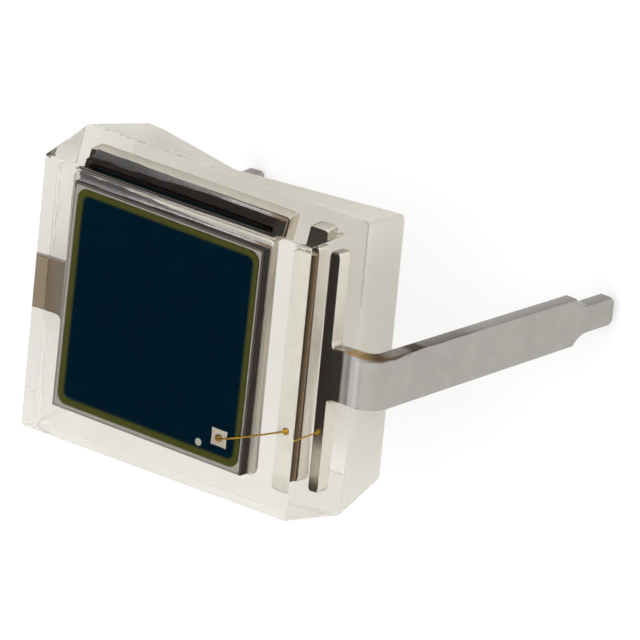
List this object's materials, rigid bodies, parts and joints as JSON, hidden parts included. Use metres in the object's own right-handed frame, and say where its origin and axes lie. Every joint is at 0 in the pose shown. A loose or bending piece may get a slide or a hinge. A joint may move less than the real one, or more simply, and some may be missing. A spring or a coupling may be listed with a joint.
{
  "type": "infrared photodiode",
  "caption": "Clear moulded block that holds a square light-sensing chip behind its flat front face, with flat leads bent back at both ends for soldering into a board.",
  "frame": {"origin": "centre of the flat underside of the moulded block, on the seating plane", "axes": "+Z is the way the chip looks, +X runs from the cathode lead to the anode lead, +Y towards the wall with the gate scar"},
  "size_m": [0.006, 0.004, 0.0056],
  "materials": {
    "clear_epoxy": "gloss",
    "lead_metal": "satin",
    "die_adhesive": "matte",
    "silicon": "satin",
    "edge_metal": "satin",
    "oxide": "gloss",
    "active_film": "gloss",
    "pad_metal": "satin",
    "gold": "polished"
  },
  "bodies": {
    "root": {"epoxy_body": "clear_epoxy", "cathode_lead": "lead_metal", "anode_lead": "lead_metal", "die_attach": "die_adhesive", "silicon_chip": "silicon", "edge_metal": "edge_metal", "oxide_ring": "oxide", "active_film": "active_film", "bond_pad": "pad_metal", "probe_dot": "pad_metal", "bond_wire": "gold"}
  },
  "joints": []
}
